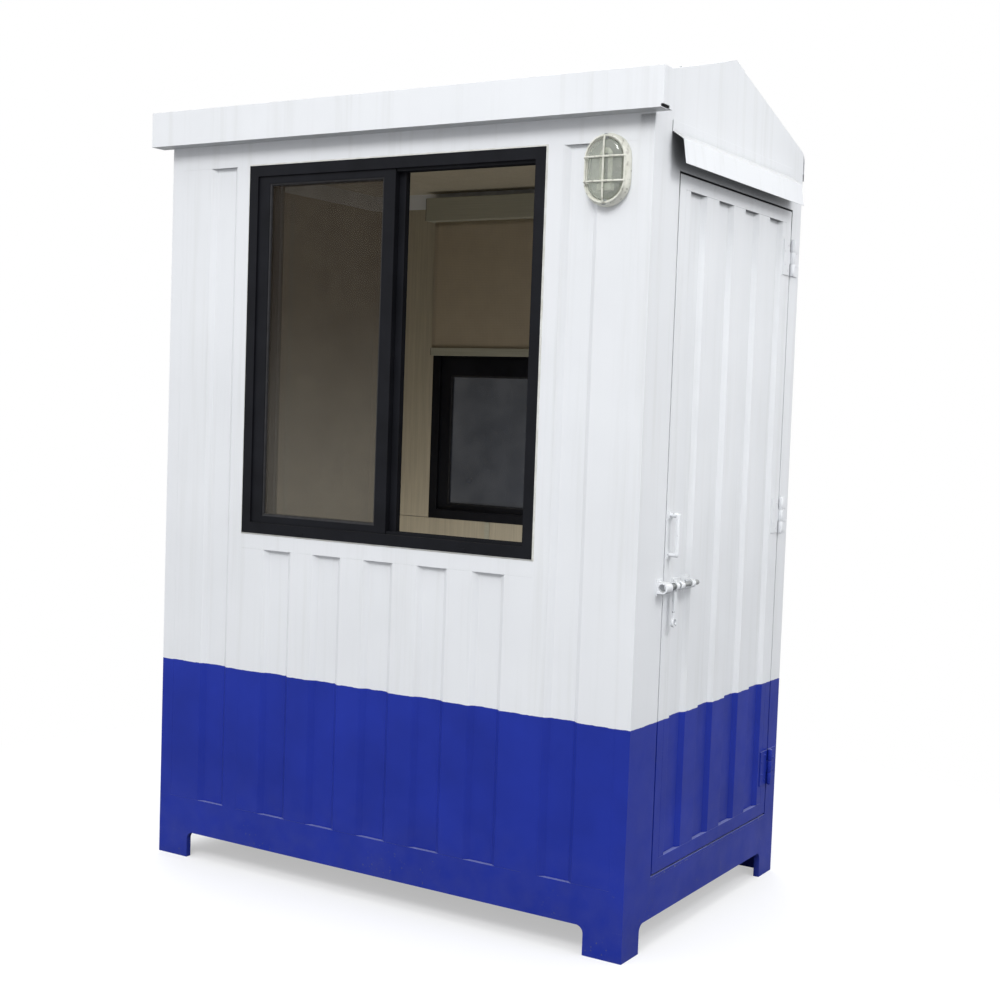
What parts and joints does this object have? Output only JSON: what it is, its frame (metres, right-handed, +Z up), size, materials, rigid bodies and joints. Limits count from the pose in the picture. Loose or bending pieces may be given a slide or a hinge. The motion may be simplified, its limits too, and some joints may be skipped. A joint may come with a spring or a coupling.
{
  "type": "security guard booth",
  "caption": "Small steel cabin on feet with fluted walls, a sliding service window, a hinged side door with a slide bolt, a wall lamp, a roller blind and a folded sheet roof behind a fascia.",
  "frame": {"origin": "centre of the cabin's overall box, at ground level under the feet", "axes": "+Z up; +X towards the wall with the door; -Y towards the front wall with the service window"},
  "size_m": [1.93, 1.222, 2.7002],
  "materials": {
    "white_paint": "semi-gloss white enamel on steel sheet, blue below the paint line",
    "blue_paint": "semi-gloss blue enamel on steel",
    "frame_primer": "matte grey primer on steel",
    "floor_board": "worn board",
    "lining_board": "matte faced board",
    "window_aluminium": "dark powder-coated aluminium",
    "tinted_glass": "polished bronze-tinted float glass",
    "dark_glass": "polished dark float glass",
    "blind_metal": "satin painted extrusion",
    "blind_fabric": "coated woven cloth",
    "lamp_enamel": "aged cream enamel",
    "lamp_lens": "ribbed pressed glass",
    "worn_zinc": "zinc plate, worn"
  },
  "bodies": {
    "cabin": {"feet": "blue_paint", "base_rails": "blue_paint", "floor_bearers": "frame_primer", "floor_deck": "floor_board", "corner_posts": "white_paint", "top_rails": "white_paint", "window_studs": "white_paint", "window_sill_bands": "white_paint", "front_side_panels": "white_paint", "front_lower_panel": "white_paint", "rear_side_panels": "white_paint", "rear_lower_panel": "white_paint", "left_wall_panel": "white_paint", "door_jambs": "white_paint", "door_header": "white_paint", "door_threshold": "worn_zinc", "door_stops": "white_paint", "front_lining": "lining_board", "rear_lining": "lining_board", "left_lining": "lining_board", "right_lining": "lining_board", "ceiling_board": "lining_board", "gable_panels": "white_paint", "roof_purlins": "frame_primer", "roof_sheet": "white_paint", "ridge_cap": "white_paint", "front_fascia": "white_paint", "door_hood": "white_paint", "front_window_frame": "window_aluminium", "front_sash_shut": "window_aluminium", "front_sash_open": "window_aluminium", "front_window_glass": "tinted_glass", "rear_window_frame": "window_aluminium", "rear_sash": "window_aluminium", "rear_window_glass": "dark_glass", "blind_case": "blind_metal", "blind_cloth": "blind_fabric", "blind_bar": "blind_metal", "lamp_base": "lamp_enamel", "lamp_glass": "lamp_lens", "lamp_guard": "lamp_enamel", "hinge_frame_leaves": "white_paint", "bolt_keep": "worn_zinc"},
    "door": {"door_frame": "white_paint", "door_outer_skin": "white_paint", "door_inner_skin": "white_paint", "hinge_door_leaves": "white_paint", "door_handle": "worn_zinc", "bolt_guides": "worn_zinc"},
    "bolt": {"bolt_rod": "worn_zinc"},
    "lug": {"bolt_lug": "worn_zinc"}
  },
  "joints": [
    {"name": "door_hinge", "type": "hinge", "parent": "cabin", "child": "door", "pos_m": [0.925, 0.516, 1.265], "axis": [0, 0, 1], "range_deg": [0, 170]},
    {"name": "bolt_slide", "type": "slide", "parent": "door", "child": "bolt", "axis": [0, 1, 0], "range_m": [-0.03, 0]},
    {"name": "lug_turn", "type": "hinge", "parent": "bolt", "child": "lug", "pos_m": [0.935, -0.338, 1.09], "axis": [0, -1, 0], "range_deg": [0, 90]}
  ]
}
